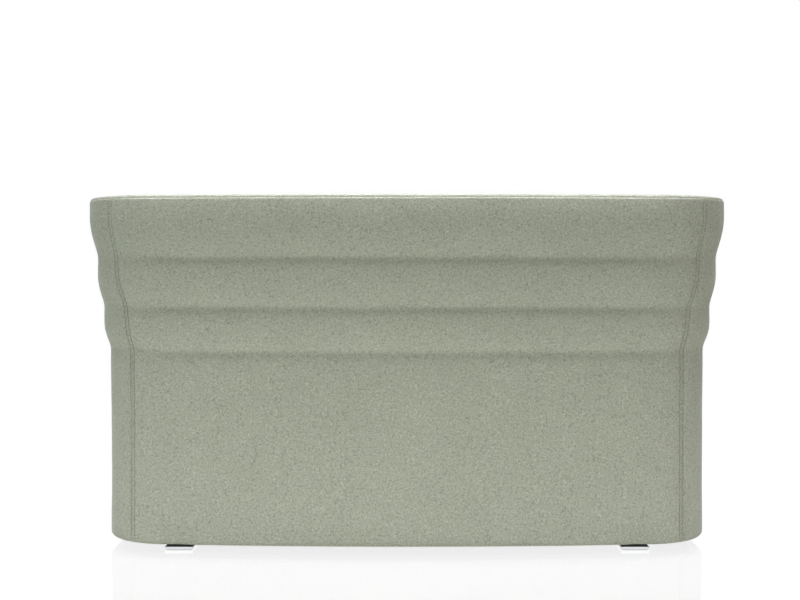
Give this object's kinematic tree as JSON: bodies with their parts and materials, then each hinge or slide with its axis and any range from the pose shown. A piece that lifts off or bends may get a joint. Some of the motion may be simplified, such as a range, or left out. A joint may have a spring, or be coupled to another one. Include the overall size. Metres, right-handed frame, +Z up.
{
  "type": "lounge sofa",
  "caption": "Low-back lounge sofa for waiting areas: wrap-round padded wall whose outside steps out in waves towards the top, loose seat cushions on a strapped deck, low block feet.",
  "frame": {"origin": "on the floor, at the middle of the footprint's bounding box", "axes": "+X along the width, to the right seen from the front; the front faces -Y and the back is at +Y; +Z up"},
  "size_m": [1.386, 0.7, 0.75],
  "materials": {
    "wool_felt": "felted melange wool, matt",
    "foam": "cut polyurethane foam",
    "birch_ply": "raw birch plywood",
    "bending_ply": "raw bending plywood",
    "hardboard": "raw hardboard",
    "beech": "raw beech",
    "chrome_foot": "polished chrome plate",
    "black_spacer": "moulded, matt black",
    "black_glide": "nylon, satin black",
    "elastic_strap": "woven elastic webbing",
    "deck_cloth": "black needle felt",
    "dust_cloth": "black spunbond cloth",
    "hook_strip": "hook tape"
  },
  "bodies": {
    "sofa": {"back_rib_1": "birch_ply", "back_rib_2": "birch_ply", "back_rib_3": "birch_ply", "back_rib_4": "birch_ply", "back_rib_5": "birch_ply", "bottom_ring": "birch_ply", "centre_stretcher": "birch_ply", "deck_cloth": "deck_cloth", "deck_grip_strips": "hook_strip", "dust_cover": "dust_cloth", "facing_pads": "foam", "foot_blocks": "beech", "foot_glides": "black_glide", "foot_spacers": "black_spacer", "front_apron_cover": "wool_felt", "front_apron_foam": "foam", "front_board": "birch_ply", "front_bottom_rail": "birch_ply", "front_left_foot": "chrome_foot", "front_right_foot": "chrome_foot", "inner_back_cover": "wool_felt", "inner_back_foam": "foam", "inner_left_cover": "wool_felt", "inner_left_foam": "foam", "inner_panel": "hardboard", "inner_right_cover": "wool_felt", "inner_right_foam": "foam", "left_arm_rib_1": "birch_ply", "left_arm_rib_2": "birch_ply", "left_corner_rib": "birch_ply", "left_facing_cover": "wool_felt", "left_front_former": "birch_ply", "outer_back_cover": "wool_felt", "outer_back_foam": "foam", "outer_left_cover": "wool_felt", "outer_left_foam": "foam", "outer_right_cover": "wool_felt", "outer_right_foam": "foam", "outer_skin": "bending_ply", "rear_left_foot": "chrome_foot", "rear_right_foot": "chrome_foot", "right_arm_rib_1": "birch_ply", "right_arm_rib_2": "birch_ply", "right_corner_rib": "birch_ply", "right_facing_cover": "wool_felt", "right_front_former": "birch_ply", "seat_ring": "birch_ply", "seat_straps": "elastic_strap", "top_border_cover": "wool_felt", "top_ring": "birch_ply"},
    "left_cushion": {"left_cushion_cover": "wool_felt", "left_cushion_core": "foam"},
    "right_cushion": {"right_cushion_cover": "wool_felt", "right_cushion_core": "foam"}
  },
  "joints": [
    {"name": "left_cushion_lift", "type": "slide", "parent": "sofa", "child": "left_cushion", "axis": [0, 0, 1], "range_m": [0, 0.48]},
    {"name": "right_cushion_lift", "type": "slide", "parent": "sofa", "child": "right_cushion", "axis": [0, 0, 1], "range_m": [0, 0.48]}
  ]
}
